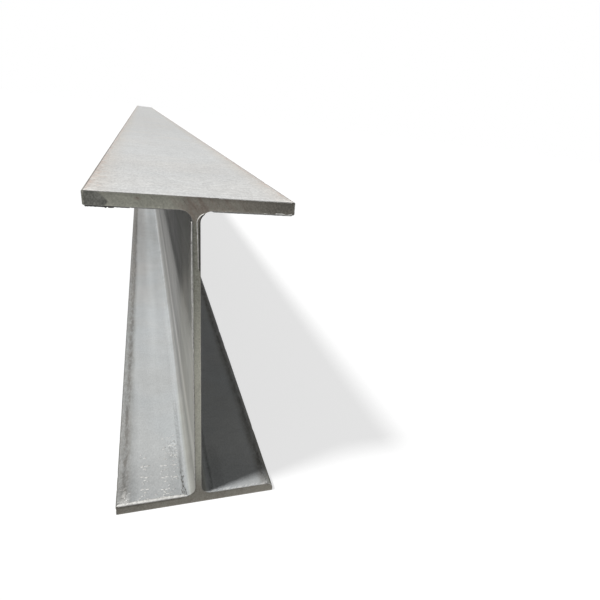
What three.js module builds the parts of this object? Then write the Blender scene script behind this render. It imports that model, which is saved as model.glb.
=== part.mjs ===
// Hot-rolled steel H-beam, 588 x 300 x 12 x 20 mm, in a 12 m stock length.
// Millimetres. +Y runs along the beam, +X across the flanges and +Z up. The origin is at the middle of
// the underside of the bottom flange, and the beam stands on that flange.

import * as THREE from 'three';

// Driving dimensions of the rolled section
const depth = 588;            // over both flanges
const flangeWidth = 300;
const webThickness = 12;
const flangeThickness = 20;
const rootRadius = 18;        // fillet between the web and each flange

// Flange toes: the edging rolls leave the outer corner crisp and the inner corner fuller
const outerToeRadius = 3;
const innerToeRadius = 5;

// Stock length, between two square saw cuts
const beamLength = 12000;

// Straight facets in the quarter turn of each arc
const rootFacets = 12;
const toeFacets = 5;

const quarterTurn = Math.PI / 2;
const halfWidth = flangeWidth / 2;
const halfWeb = webThickness / 2;
const halfDepth = depth / 2;
const innerFace = halfDepth - flangeThickness;

// The three arcs of one quadrant of the section, right of the web and above mid-depth, in the order in
// which an anticlockwise walk meets them. Straight runs of the web and the flange join them.
const rootFillet = {
  x: halfWeb + rootRadius,
  y: innerFace - rootRadius,
  radius: rootRadius,
  start: 2 * quarterTurn,
  turn: -quarterTurn,
  facets: rootFacets,
};

const innerToe = {
  x: halfWidth - innerToeRadius,
  y: innerFace + innerToeRadius,
  radius: innerToeRadius,
  start: -quarterTurn,
  turn: quarterTurn,
  facets: toeFacets,
};

const outerToe = {
  x: halfWidth - outerToeRadius,
  y: halfDepth - outerToeRadius,
  radius: outerToeRadius,
  start: 0,
  turn: quarterTurn,
  facets: toeFacets,
};

function arcPoints({ x, y, radius, start, turn, facets }) {
  return Array.from({ length: facets + 1 }, (_, step) => {
    const angle = start + (turn * step) / facets;
    return new THREE.Vector2(x + radius * Math.cos(angle), y + radius * Math.sin(angle));
  });
}

// One quadrant of the outline, mirrored by the signs. A single mirror turns the walk round, so that
// quadrant's points are reversed to keep the outline anticlockwise.
function quadrant(signX, signY) {
  const points = [rootFillet, innerToe, outerToe]
    .flatMap(arcPoints)
    .map((point) => new THREE.Vector2(point.x * signX, point.y * signY));
  return signX === signY ? points : points.reverse();
}

function sectionShape() {
  return new THREE.Shape([
    ...quadrant(1, 1),
    ...quadrant(-1, 1),
    ...quadrant(-1, -1),
    ...quadrant(1, -1),
  ]);
}

const rolledSteel = new THREE.MeshStandardMaterial({
  name: 'rolled_steel',
  color: 0x94938e,
  roughness: 0.5,
  metalness: 0.85,
});

// The section is centred in X and Y and drawn out along Z. A quarter turn about X then lays the length
// along Y and stands the depth up along Z.
function rolledBeam() {
  const geometry = new THREE.ExtrudeGeometry(sectionShape(), {
    depth: beamLength,
    steps: 1,
    bevelEnabled: false,
  });
  geometry.translate(0, 0, -beamLength / 2);

  const mesh = new THREE.Mesh(geometry, rolledSteel);
  mesh.name = 'h_beam';
  mesh.rotation.x = quarterTurn;
  mesh.position.z = halfDepth;
  return mesh;
}

const beam = new THREE.Group();
beam.add(rolledBeam());

export default beam;
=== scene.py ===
"""Dresses a rolled steel H-beam: mill scale, saw cuts, burrs, roll marks, stage and camera.

Metres throughout. +Y runs along the beam, +X across the flanges and +Z up. The near end is the one at
the lowest Y, and the beam stands on the underside of its bottom flange, at Z = 0.
"""

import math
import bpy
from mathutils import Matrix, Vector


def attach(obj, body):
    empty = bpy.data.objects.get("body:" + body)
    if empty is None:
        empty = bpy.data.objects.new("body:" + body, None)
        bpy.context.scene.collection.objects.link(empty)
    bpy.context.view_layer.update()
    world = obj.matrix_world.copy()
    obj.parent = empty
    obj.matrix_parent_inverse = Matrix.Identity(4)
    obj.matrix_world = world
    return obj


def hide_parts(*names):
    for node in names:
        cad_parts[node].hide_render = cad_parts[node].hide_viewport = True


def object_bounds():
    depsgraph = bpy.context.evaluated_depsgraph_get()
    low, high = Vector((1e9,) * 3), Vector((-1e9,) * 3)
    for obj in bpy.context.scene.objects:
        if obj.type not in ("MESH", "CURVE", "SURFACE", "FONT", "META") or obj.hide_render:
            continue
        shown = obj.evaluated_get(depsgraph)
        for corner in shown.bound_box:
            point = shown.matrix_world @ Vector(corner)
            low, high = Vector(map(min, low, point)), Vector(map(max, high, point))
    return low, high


bl_info = {
    "name": "Rolled H-Beam",
    "version": (1, 0, 0),
    "blender": (4, 5, 0),
    "location": "3D View > Sidebar > H-Beam",
    "description": "Dresses a rolled steel H-beam with mill scale, saw cuts, burrs and roll marks",
    "category": "Object",
}

import bmesh
import bpy
import numpy as np
from mathutils import Matrix, Vector, noise
from mathutils.geometry import delaunay_2d_cdt

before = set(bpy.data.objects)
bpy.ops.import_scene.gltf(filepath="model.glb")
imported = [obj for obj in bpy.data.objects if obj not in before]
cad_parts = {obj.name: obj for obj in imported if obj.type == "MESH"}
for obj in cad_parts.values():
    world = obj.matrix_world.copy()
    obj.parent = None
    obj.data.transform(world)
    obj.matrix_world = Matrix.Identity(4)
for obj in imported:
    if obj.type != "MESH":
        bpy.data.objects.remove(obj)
cad_low, cad_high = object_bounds()

NODE = "h_beam"
BODY = "root"

WIDTH = cad_high.x - cad_low.x
DEPTH = cad_high.z - cad_low.z
NEAR = cad_low.y
FAR = cad_high.y
FLANGE_TOP = 0.020       # upper face of the bottom flange
MM = 0.001


# ---------------------------------------------------------------- settings


def number(name, description, default, unit="NONE"):
    return bpy.props.FloatProperty(name=name, description=description, default=default, unit=unit)


def length(name, description, default):
    return number(name, description, default, "LENGTH")


def whole(name, description, default):
    return bpy.props.IntProperty(name=name, description=description, default=default)


def color(name, description, default):
    return bpy.props.FloatVectorProperty(
        name=name, description=description, default=default, subtype="COLOR",
    )


class HBeamSection(bpy.types.PropertyGroup):
    """Sizes of the rolled section, besides the width, depth and length that the frame gives"""

    web_thickness: length("Web Thickness", "Thickness of the web", 0.012)
    flange_thickness: length("Flange Thickness", "Thickness of both flanges", 0.020)
    root_radius: length("Root Radius", "Fillet between web and flange", 0.018)
    inner_toe_radius: length("Inner Toe Radius", "Flange tip corner on the web's side", 0.0021)
    full_toe_radius: length("Full Toe Radius", "The one inner tip corner that the rolls left fuller", 0.012)
    outer_toe_radius: length("Outer Toe Radius", "Flange tip corner on the outside", 0.0018)


class HBeamRelief(bpy.types.PropertyGroup):
    """Fine relief of the rolled faces and of the saw cuts"""

    rows: whole("Rows", "Rings of points along the beam", 261)
    ripple: length("Ripple", "Depth of the unevenness that the rolls left", 0.0003)
    nick: length("Nick", "Depth of the handling nicks in the flange tips", 0.0012)
    seam: length("Lap Seam", "Depth of the lap seam beside the root", 0.0004)
    recess: length("Cut Recess", "How far the sawn face lies inside its burr", 0.0008)
    cut_grain: length("Cut Grain", "Spacing of the points on a sawn face", 0.0027)
    mark_spacing: length("Mark Spacing", "Spacing of the roll marks along the flange", 0.034)
    seed: whole("Seed", "Seed of everything irregular", 7)


class HBeamFinish(bpy.types.PropertyGroup):
    """Colours of the steel"""

    scale: color("Mill Scale", "Bare mill scale", (0.347, 0.341, 0.326))
    top_bloom: color("Pale Bloom", "Pale dusty oxide on top of the beam", (0.668, 0.664, 0.649))
    inner_bloom: color("Grey Bloom", "Pale oxide on the bottom flange", (0.515, 0.526, 0.524))
    grime: color("Grime", "Brown-grey band along the flange tips", (0.27, 0.262, 0.245))
    rust: color("Rust Dust", "Thin rust along the outer edges", (0.60, 0.49, 0.44))
    cut: color("Saw Cut", "Sawn steel, gone dull", (0.413, 0.411, 0.351))
    cut_brown: color("Brown Cut", "Sawn steel where it has browned", (0.270, 0.249, 0.214))
    bright: color("Bright Steel", "Burrs and fresh marks", (0.86, 0.85, 0.82))
    lap: color("Lap Oxide", "Dark oxide on the scabs beside the root", (0.30, 0.30, 0.29))
    crack: color("Crack Oxide", "Darker oxide down in the cracks", (0.120, 0.118, 0.105))


class HBeamStage(bpy.types.PropertyGroup):
    """Light and floor"""

    sun_elevation: number("Sun Elevation", "Height of the key light", math.radians(57.8), "ROTATION")
    sun_strength: number("Sun Strength", "Strength of the key light", 2.85)
    sun_angle: number("Sun Angle", "Softness of the key light", math.radians(8), "ROTATION")
    sky_strength: number("Sky Strength", "Light from all round", 0.22)
    floor_bounce: color("Floor Bounce", "Floor as the beam feels it", (0.10, 0.10, 0.10))
    floor_shown: color("Floor Shown", "Part of the floor's white that a shadow takes", (0.36, 0.36, 0.36))


# ---------------------------------------------------------------- nodes


class Value:
    """What a socket gives. Arithmetic works on it, and each operator adds a math node to its tree"""

    def __init__(self, tree, socket):
        self.tree, self.socket = tree, socket

    def __add__(self, other):
        return maths("ADD", self, other)

    def __sub__(self, other):
        return maths("SUBTRACT", self, other)

    def __rsub__(self, other):
        return maths("SUBTRACT", other, self)

    def __mul__(self, other):
        return maths("MULTIPLY", self, other)

    def __truediv__(self, other):
        return maths("DIVIDE", self, other)

    def __rtruediv__(self, other):
        return maths("DIVIDE", other, self)

    def __abs__(self):
        return maths("ABSOLUTE", self)


def feed(socket, value):
    """Links a value to a socket, or sets the socket's own value"""
    if isinstance(value, Value):
        value.tree.links.new(value.socket, socket)
    elif socket.type == "RGBA":
        socket.default_value = (*value, 1.0)
    else:
        socket.default_value = value


def put(tree, kind, inputs=None, **settings):
    """A new node, with its properties set and its inputs fed"""
    node = tree.nodes.new(kind)
    for name, value in settings.items():
        setattr(node, name, value)
    for key, value in (inputs or {}).items():
        feed(node.inputs[key], value)
    return node


def out(tree, kind, inputs=None, pick=0, **settings):
    """What one output of a new node gives"""
    return Value(tree, put(tree, kind, inputs, **settings).outputs[pick])


def is_vector(value):
    if isinstance(value, Value):
        return value.socket.type in ("VECTOR", "RGBA")
    return isinstance(value, tuple)


def tree_of(*values):
    return next(value.tree for value in values if isinstance(value, Value))


def maths(operation, *values):
    """A math node, or a vector math node if the first value is a vector"""
    inputs = dict(enumerate(values))
    if not is_vector(values[0]):
        return out(tree_of(*values), "ShaderNodeMath", inputs, operation=operation)
    if operation == "MULTIPLY" and not is_vector(values[1]):
        operation, inputs = "SCALE", {0: values[0], "Scale": values[1]}
    return out(tree_of(*values), "ShaderNodeVectorMath", inputs, operation=operation)


def measured(operation, *vectors):
    """One number from vectors, such as a length or a distance"""
    inputs = dict(enumerate(vectors))
    return out(tree_of(*vectors), "ShaderNodeVectorMath", inputs, pick="Value", operation=operation)


def total(terms):
    """Adds up terms: each is a weight and the values that it goes with, multiplied together"""
    result = 0.0
    for weight, value, *masks in terms:
        for mask in masks:
            value *= mask
        result = maths("MULTIPLY_ADD", value, weight, result)
    return result


def split(vector):
    """X, Y and Z of a vector"""
    node = put(vector.tree, "ShaderNodeSeparateXYZ", {0: vector})
    return [Value(vector.tree, socket) for socket in node.outputs]


def joined(x=0.0, y=0.0, z=0.0):
    return out(tree_of(x, y, z), "ShaderNodeCombineXYZ", {0: x, 1: y, 2: z})


def turned(place, angle):
    """The place that a pattern is read at, when the pattern is turned about Z"""
    return out(place.tree, "ShaderNodeMapping", {"Vector": place, "Rotation": (0.0, 0.0, angle)})


def cloud(vector, scale, detail=2.0, roughness=0.5, pick=0):
    """Noise between 0 and 1"""
    inputs = {"Vector": vector, "Scale": scale, "Detail": detail, "Roughness": roughness}
    return out(vector.tree, "ShaderNodeTexNoise", inputs, pick)


def ramp(value, start, stop, low=0.0, high=1.0, kind="SMOOTHSTEP"):
    """A smooth step from low at start to high at stop"""
    inputs = {"Value": value, "From Min": start, "From Max": stop, "To Min": low, "To Max": high}
    return out(value.tree, "ShaderNodeMapRange", inputs, interpolation_type=kind)


def ridge(value, center, half_width):
    """1 at the centre, falling to 0 at half_width on both sides"""
    return ramp(abs(value - center), half_width, 0.0)


def blend(factor, first, second, mode="MIX"):
    inputs = {0: factor, 6: first, 7: second}
    return out(tree_of(factor, first, second), "ShaderNodeMix", inputs, 2, data_type="RGBA", blend_type=mode)


SOCKETS = {float: "Float", int: "Int", tuple: "Vector"}
ORIGIN = (0.0, 0.0, 0.0)


def add_socket(group, side, label, default):
    """A named socket, of its default's kind or, where it has none, of the kind named in its place"""
    kind = SOCKETS.get(type(default), default)
    socket = group.interface.new_socket(label, in_out=side, socket_type="NodeSocket" + kind)
    if kind != default:
        socket.default_value = default


def new_group(name, kind, inputs, outputs):
    """A node group: its tree, the values of its inputs, and the sockets of its outputs"""
    group = bpy.data.node_groups.new(name, kind)
    for label, default in inputs.items():
        add_socket(group, "INPUT", label, default)
    for label, default in outputs.items():
        add_socket(group, "OUTPUT", label, default)
    given = put(group, "NodeGroupInput").outputs
    values = {label: Value(group, given[label]) for label in inputs}
    return group, values, put(group, "NodeGroupOutput").inputs


# ---------------------------------------------------------------- shader groups


def streaks_group():
    """Lengthwise streaks of the rolling: fine and broad ones"""
    _, given, result = new_group(
        "rolling_streaks", "ShaderNodeTree",
        {"Vector": ORIGIN, "Fine": 260.0, "Broad": 55.0, "Drag": 0.004}, {"Fine": 0.0, "Broad": 0.0},
    )
    along = given["Vector"] * joined(1.0, given["Drag"], 1.0)
    feed(result["Fine"], cloud(along, given["Fine"], 3.0, 0.6))
    feed(result["Broad"], cloud(along, given["Broad"], 2.0, 0.5))


def grain_group():
    """Fine grain of dull oxide, and larger mottling"""
    _, given, result = new_group(
        "oxide_grain", "ShaderNodeTree",
        {"Vector": ORIGIN, "Grain": 900.0, "Mottle": 38.0}, {"Grain": 0.0, "Mottle": 0.0},
    )
    feed(result["Grain"], cloud(given["Vector"], given["Grain"], 3.0, 0.65))
    feed(result["Mottle"], cloud(given["Vector"], given["Mottle"], 5.0, 0.6))


def rust_group():
    """Rust: a dusting where the mask allows it, and small darker specks in it"""
    _, given, result = new_group(
        "rust_dust", "ShaderNodeTree",
        {"Vector": ORIGIN, "Mask": 1.0, "Patch": 60.0, "Speck": 420.0}, {"Dust": 0.0, "Specks": 0.0},
    )
    patches = ramp(cloud(given["Vector"], given["Patch"], 4.0, 0.6), 0.38, 0.62)
    specks = ramp(cloud(given["Vector"], given["Speck"], 3.0, 0.5), 0.62, 0.7)
    feed(result["Dust"], patches * given["Mask"])
    feed(result["Specks"], specks * given["Mask"])


def use_group(name, vector, **inputs):
    """The values that a shader group gives at a place"""
    node = put(vector.tree, "ShaderNodeGroup", node_tree=bpy.data.node_groups[name])
    for key, value in {"Vector": vector, **inputs}.items():
        feed(node.inputs[key], value)
    return {socket.name: Value(vector.tree, socket) for socket in node.outputs}


# ---------------------------------------------------------------- materials


def new_material(name, metallic, specular):
    """A material's shader, and the object's own coordinates"""
    material = bpy.data.materials.new(name)
    material.use_nodes = True
    shader = material.node_tree.nodes["Principled BSDF"]
    feed(shader.inputs["Metallic"], metallic)
    feed(shader.inputs["Specular IOR Level"], specular)
    return shader, out(material.node_tree, "ShaderNodeTexCoord", pick="Object")


def dress(shader, surface_color, rough, height, distance, strength=1.0):
    """Gives a shader its colour, its roughness and its fine relief"""
    bump = {"Strength": strength, "Distance": distance, "Height": height}
    feed(shader.inputs["Base Color"], surface_color)
    feed(shader.inputs["Roughness"], rough)
    feed(shader.inputs["Normal"], out(height.tree, "ShaderNodeBump", bump))


def attribute(place, name):
    """A number that the mesh carries at a place"""
    return out(place.tree, "ShaderNodeAttribute", pick="Fac", attribute_name=name)


def layered(base, layers):
    """Lays colours over one another, each as thickly as its mask says"""
    for mask, over in layers:
        base = blend(mask, base, over)
    return base


def tinted(base, tints):
    """Multiplies a colour by one tint after another, each as far as its mask says"""
    for mask, tint in tints:
        base = blend(mask, base, tint, "MULTIPLY")
    return base


def shaded(base, tone):
    """A colour made lighter or darker by a tone around 0"""
    shade = tone + 1.0
    grey = out(tone.tree, "ShaderNodeCombineColor", {0: shade, 1: shade, 2: shade})
    return blend(1.0, base, grey, "MULTIPLY")


class ScaleSpot:
    """The measures and masks that the mill scale's colour, tone and relief share"""

    def __init__(self, place):
        self.place = place
        self.x, self.y, self.z = split(place)
        self.up = attribute(place, "up")
        self.streaks = use_group("rolling_streaks", place)
        self.grain = use_group("oxide_grain", place, Grain=460.0)
        self.tip = WIDTH / 2 - abs(self.x)
        self.from_cut = FAR - abs(self.y)
        self.above = self.z - FLANGE_TOP
        self.outer = ramp(abs(self.z - DEPTH / 2), DEPTH / 2 - 0.004, DEPTH / 2 - 0.001)
        self.inner = 1.0 - self.outer
        self.flat = ramp(abs(self.up), 0.9, 0.99)
        self.on_web = 1.0 - self.flat
        self.near_half = ramp(self.y, 1.0, -1.0)
        self.ripple = cloud(turned(place * (0.75, 1.0, 1.0), 0.35), 82.0, 4.0, 0.62)
        self.find_tip_band()
        self.find_web_line()
        self.find_scuffs()

    def cut(self, *steps):
        """A ramp over the distance from the nearest cut"""
        return ramp(self.from_cut, *steps)

    def find_tip_band(self):
        """The grimy band on the inner faces beside the flange tips, and how patchy it is"""
        self.wander = cloud(joined(3.0, self.y, self.z), 9.0, 3.0) * 0.01 - 0.005
        self.band_place = self.tip + self.wander + self.cut(0.5, 1.3, 0.0, -0.002)
        self.band = ramp(self.band_place, 0.032, 0.015) * self.inner
        drawn = cloud(self.place * (1, 0.22, 1), 150.0, 4.0, 0.65)
        self.patchy = ramp(drawn, 0.32, 0.62, 0.5, 1.0) * ramp(self.tip, 0.005, 0.013, 0.72, 1.0)

    def find_web_line(self):
        """Height over a line that climbs the web away from the cut, its burnish, and the web's stripes"""
        wander = cloud(joined(1.0, self.y, self.x), 1.4, 2.0) * 0.012 - 0.006
        self.line_place = self.above + wander + self.cut(0.0, 1.7, 0.0, -0.048)
        self.burnished = ridge(self.line_place, 0.082, 0.034) * self.cut(0.9, 1.6, 1.0, 0.25)
        self.away_web = self.cut(0.1, 0.5)
        self.stripes = (cloud(self.place * (1, 0.05, 1), 26.0, 3.0, 0.55) - 0.5) * self.away_web

    def find_scuffs(self):
        """Bright metal where the saw scuffed the scale off behind the cut, heaped beside the left tip"""
        self.hatch = cloud(turned(self.place, 0.75) * (1.0, 0.3, 1.0), 260.0, 3.0, 0.6)
        heaped = ridge(self.x, -0.1345, 0.012)
        heap = heaped * self.cut(0.038, 0.008) * ramp(self.hatch, 0.3, 0.5, 0.4, 1.0)
        reach = heaped * 0.058 + 0.01
        fringe = ramp(self.from_cut / reach, 1.0, 0.1) * ramp(self.hatch, 0.45, 0.6)
        faces_up = ramp(self.up, 0.985, 0.999) * self.inner
        self.scuffed = maths("MAXIMUM", fringe, heap) * faces_up


def scale_color(spot, finish):
    """Mill scale under bloom, grime, rust and bright scuffs"""
    cut, place, tip, outer = spot.cut, spot.place, spot.tip, spot.outer
    bloom = blend(outer, finish.inner_bloom, finish.top_bloom)
    chipped = ramp(cloud(place, 230.0, 3.0, 0.6), 0.54, 0.66) * ridge(spot.band_place, 0.0095, 0.0045)
    rust_edge = ramp(spot.wander * 0.6 + tip, 0.015, 0.003) * outer
    rust = use_group("rust_dust", place, Mask=rust_edge)
    freckles = ramp(cloud(place * (1, 0.5, 1), 130.0, 3.0, 0.6), 0.55, 0.66) * ramp(tip, 0.036, 0.01)
    base = layered(finish.scale, (
        # Bloom on faces that look up; away from the cuts it climbs the fillet
        (ramp(spot.up + cut(0.15, 0.9, 0.02, 0.2), 0.8, 0.998), bloom),
        # Grime beside the tips, and where it has chipped
        (spot.band * spot.patchy, finish.grime),
        (chipped * spot.inner * cut(1.5, 0.1) * 0.4, finish.inner_bloom),
        # Rust dust, its specks, and freckles farther in
        (rust["Dust"] * 0.62, finish.rust),
        (rust["Specks"] * 0.7, (0.36, 0.22, 0.16)),
        (freckles * outer * cut(0.6, 0.1) * 0.36, (0.5, 0.37, 0.31)),
    ))
    base = tinted(base, [(ramp(tip, 0.05, 0.006) * outer, (0.97, 0.94, 0.908))])
    knocked = ramp(tip, 0.022, 0.01) * cut(0.045, 0.012) * ramp(cloud(place, 190.0, 2.0), 0.42, 0.56)
    edge_scale_and_shade = ramp(tip, 0.0036, 0.0022) * outer
    dull_tip = maths("MAXIMUM", ramp(tip, 0.0026, 0.0012), edge_scale_and_shade)
    return layered(base, (
        # Pale knocked corner beside the cut, dull tips, a dark top edge of bare scale and painted shade, and
        # scuffs
        (knocked * outer * 0.6, finish.bright),
        (dull_tip * 0.85, (0.16, 0.155, 0.145)),
        (spot.scuffed * 0.7, finish.bright),
    ))


def web_marks(spot):
    """Marks on the web, with painted shade and light: how much lighter or darker each is, and its masks"""
    cut, above, line, near_half = spot.cut, spot.above, spot.line_place, spot.near_half
    lift = (cut(0.34, 0.14, 0.0, 0.095) + cut(0.12, 0.03, 0.0, 0.065)) * near_half
    painted_flange_shade = ramp(above - lift, 0.262, 0.345) * spot.inner
    outside_flange_shade = 1.0 - painted_flange_shade
    return (
        (0.12, spot.streaks["Fine"] - 0.5),
        (0.2, spot.streaks["Broad"] - 0.5),
        (0.4, cloud(spot.place * (1, 1, 0.35), 16.0, 3.0, 0.6) - 0.5),
        (0.35, spot.stripes),
        # Burnished line that climbs away from the cut, and thinner lines beside it
        (0.2, spot.burnished),
        (0.13, ridge(line, 0.08, 0.042), cut(0.06, 0.16), cut(0.95, 0.6)),
        (0.11, ridge(line, 0.084, 0.016), spot.away_web),
        (-0.08, ridge(line, 0.042, 0.02), cut(0.3, 0.8)),
        (-0.14, ridge(line, 0.138, 0.026), spot.away_web),
        # Painted shade low on the web over the root, and a lighter strip above it near the cut
        (-0.13, ramp(above, 0.001, 0.009), ramp(line, 0.06, 0.03), cut(0.4, 0.9, 1.0, 0.35)),
        (0.12, ridge(above, 0.062, 0.034), cut(0.55, 0.35)),
        # Broad stripes higher up
        (-0.22, ramp(line, 0.092, 0.128), cut(0.3, 1.1), outside_flange_shade),
        (0.12, ridge(above, 0.213, 0.034), cut(0.08, 0.2), cut(1.0, 0.6, 0.4, 1.0)),
        (-0.12, ridge(above, 0.135, 0.055), cut(1.1, 1.5)),
        (-0.09, ridge(above, 0.272, 0.028), spot.away_web),
        (-0.1, ridge(spot.from_cut, 0.37, 0.2), ramp(above, 0.13, 0.16)),
        # Painted light beside the cut, where light comes round the end, up into the flange's shade
        (0.18, cut(0.18, 0.03), ramp(above, 0.015, 0.045)),
        (0.07, cut(0.26, 0.16), ramp(above, 0.15, 0.2)),
        (0.85, cut(0.36, 0.18), ramp(above, 0.3, 0.35), cut(0.1, 0.03, 1.0, 1.5), outside_flange_shade, near_half),
        # Painted shade under the top flange, from a line that rises towards the cut, darkest along its edge
        (-0.4, painted_flange_shade),
        (-0.26, ridge(above, 0.337, 0.03), cut(0.28, 0.4), cut(0.9, 0.5, 0.3, 1.0), near_half),
        (-0.11, ridge(above, 0.36, 0.034), cut(0.28, 0.4), cut(1.2, 0.8), near_half),
    )


def flange_marks(spot):
    """How much lighter or darker each mark on the flanges is, and its masks"""
    cut, x, ripple, outer, inner = spot.cut, spot.x, spot.ripple, spot.outer, spot.inner
    speckle = ramp(cloud(spot.place * (1, 0.42, 1), 300.0, 2.0, 0.7), 0.36, 0.64) - 0.5
    beside_heap = cut(0.14, 0.08, 0.0, 0.4) + cut(0.55, 0.35)
    return (
        # Slanting ripples outside with painted glints on their crests near the cuts, drawn streaks inside,
        # speckle and clouds
        (0.42, ripple - 0.5, outer, cut(0.35, 0.05, 0.4, 1.0)),
        (0.1, ripple - 0.5, inner),
        (0.06, ramp(ripple, 0.53, 0.66), outer, cut(0.24, 0.05, 0.1, 1.0)),
        (0.3, spot.stripes, inner),
        (0.17, speckle, outer),
        (0.1, speckle, inner),
        (0.14, cloud(spot.place, 14.0, 3.0, 0.55) - 0.5),
        # Change along the beam
        (-0.1, cut(0.25, 2.4)),
        (-0.15, cut(0.7, 2.5), inner),
        (-0.06, cut(0.7, 2.5), inner, ramp(spot.tip, 0.075, 0.04)),
        (-0.03, cut(0.12, 0.36), outer),
        (-0.03, ridge(spot.from_cut, 0.3, 0.2), outer),
        (-0.06, cut(0.8, 1.3), cut(2.8, 2.0), inner),
        (0.1, ridge(abs(x), 0.067, 0.024), cut(0.3, 0.9), inner),
        # Beside the cut
        (-0.15, cut(0.17, 0.02), inner),
        (0.08, cut(0.016, 0.004), outer),
        (-0.1, ridge(x, -0.1195, 0.0125), beside_heap, inner),
        (0.85, spot.hatch - 0.5, cut(0.22, 0.04), spot.band),
    )


def seam_marks(spot):
    """How much darker each mark of the lap seam beside the root is, and its masks"""
    cut, x, place = spot.cut, spot.x, spot.place
    seam_place = abs(x) + cloud(joined(7.0, spot.y, x), 22.0, 3.0, 0.6) * 0.006 - 0.003
    seam = ridge(seam_place, 0.0272, 0.0062)
    loops = ridge(cloud(place * (1, 0.42, 1), 105.0, 1.5, 0.5), 0.5, 0.055)
    at_loops = maths("MAXIMUM", cut(0.17, 0.22, 0.25, 1.0) * cut(0.36, 0.31), cut(0.05, 0.02, 0.0, 1.0))
    blotchy = ramp(cloud(place * (1, 0.5, 1), 60.0, 3.0, 0.6), 0.38, 0.56)
    pits = ramp(cloud(place * (1, 0.6, 1), 240.0, 1.0, 0.5), 0.42, 0.58) - 0.5
    pitted = ramp(ridge(spot.from_cut, 0.16, 0.034), 0.0, 0.4) * ramp(ridge(x, -0.041, 0.0125), 0.0, 0.4)
    return (
        # Loops, then a soft grey line towards the cut, then loops again
        (-0.24, loops, seam, at_loops),
        (-0.15, seam, cut(0.36, 0.16, 0.25, 1.0), cut(0.4, 0.33)),
        (-0.14, ridge(seam_place, 0.0268, 0.0034), cut(0.24, 0.12), blotchy, cut(0.018, 0.05, 0.3, 1.0)),
        # Grime on both sides of the seam, painted shade at the fillet's foot beside the cut, and a patch of
        # pits
        (-0.09, ridge(seam_place, 0.0295, 0.005), cut(0.18, 0.09), cut(0.018, 0.06)),
        (-0.22, ridge(abs(x), 0.023, 0.0034), cut(0.035, 0.012)),
        (-0.09, ramp(abs(x), 0.06, 0.046), ramp(abs(x), 0.031, 0.036), cut(0.17, 0.12)),
        (0.34, pits, pitted),
    )


def scale_tone(spot):
    """How much lighter or darker than its colour the mill scale is, around 0"""
    cut, up, inner = spot.cut, spot.up, spot.inner
    lengths = ramp(cloud(joined(5.0, spot.y, spot.z), 11.0, 3.0, 0.6), 0.42, 0.6, 0.3, 1.0)
    line_center = cut(0.3, 0.6, 0.0135, 0.016) + cut(0.7, 1.3, 0.0, 0.003)
    return total((
        (1.0, total(web_marks(spot)), spot.on_web),
        (1.0, total(flange_marks(spot)), spot.flat),
        (1.0, total(seam_marks(spot)), ramp(up, 0.96, 0.995), inner),
        (0.06, spot.streaks["Broad"] - 0.5),
        (0.15, spot.grain["Mottle"] - 0.5),
        (0.3, spot.grain["Grain"] - 0.5),
        (-0.12, attribute(spot.place, "nick")),
        # Broken dark line along the inner side of the tip band
        (-0.22, ridge(spot.band_place, line_center, 0.0056), inner, lengths, 1.0 - spot.scuffed),
        # Root fillets: painted shade in the crease at their shoulder, foot and top, and lighter up their
        # side
        (-0.12, ridge(up, 0.94, 0.06), cut(0.6, 0.2), inner),
        (-0.14, ridge(abs(spot.x), 0.0235, 0.004), cut(0.42, 0.3), cut(0.05, 0.16), inner),
        (-0.22, ramp(up, 0.998, 0.93), ramp(up, 0.5, 0.9), cut(0.4, 2.2, 0.5, 1.0), cut(0.35, 0.65), inner),
        (0.11, ridge(up, 0.6, 0.22), cut(0.1, 0.22), cut(0.62, 0.45), inner),
    ))


def mill_scale(finish):
    """Rolled faces: dark mill scale, with a pale bloom where they look up"""
    shader, place = new_material("mill_scale", 0.0, 0.06)
    spot = ScaleSpot(place)
    steel = tinted(shaded(scale_color(spot, finish), scale_tone(spot)), (
        # Cooler in clouds, warmer on the inner faces away from the cuts, and olive on the web near them
        (ramp(cloud(place, 6.0, 2.0), 0.35, 0.65), (0.985, 1.0, 1.015)),
        (spot.cut(0.8, 1.5) * spot.inner * spot.flat * ramp(spot.tip, 0.085, 0.055), (1.0, 0.975, 0.96)),
        (spot.on_web * spot.cut(0.5, 0.25), (1.0, 1.0, 0.955)),
    ))
    mottle, fine = spot.grain["Mottle"], spot.streaks["Fine"]
    rough = total(((0.2, mottle), (0.1, fine), (-0.08, spot.burnished, spot.on_web))) + 0.52
    relief = total((
        (0.16, spot.grain["Grain"]),
        (0.03, fine),
        (0.85, spot.ripple, spot.outer),
        (0.3, spot.ripple - 0.5, spot.inner),
        (0.4, spot.patchy, spot.band),
    ))
    dress(shader, steel, rough, relief, 1.2 * MM)


BLADE_CENTER = (-0.75, 0.0, 0.12)    # middle of the arcs that the saw blade left
TOP_BURN = (0.012, 0.0, DEPTH - 0.012)    # middle of the browned place where web and top flange meet


def torn_place(x, z, place, mottle, grain):
    """Torn dark place at the tip where the blade ran out: its mask and its colour"""
    low = ramp(z, DEPTH - 0.006, DEPTH - 0.016)
    tone = total((
        (1.7, mottle),
        (1.0, grain),
        (-0.12, low),
        (-0.16, low, ramp(x, -0.137, -0.12)),
        (0.16, ramp(z, DEPTH - 0.013, DEPTH - 0.002)),
        (0.25, ramp(z, DEPTH - 0.005, DEPTH - 0.002), ramp(x, -0.139, -0.134)),
    ))
    torn = ramp(attribute(place, "patch") + mottle * 1.3, 0.25, 0.75)
    return torn, shaded((0.205, 0.205, 0.185), tone + 0.02)


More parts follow.
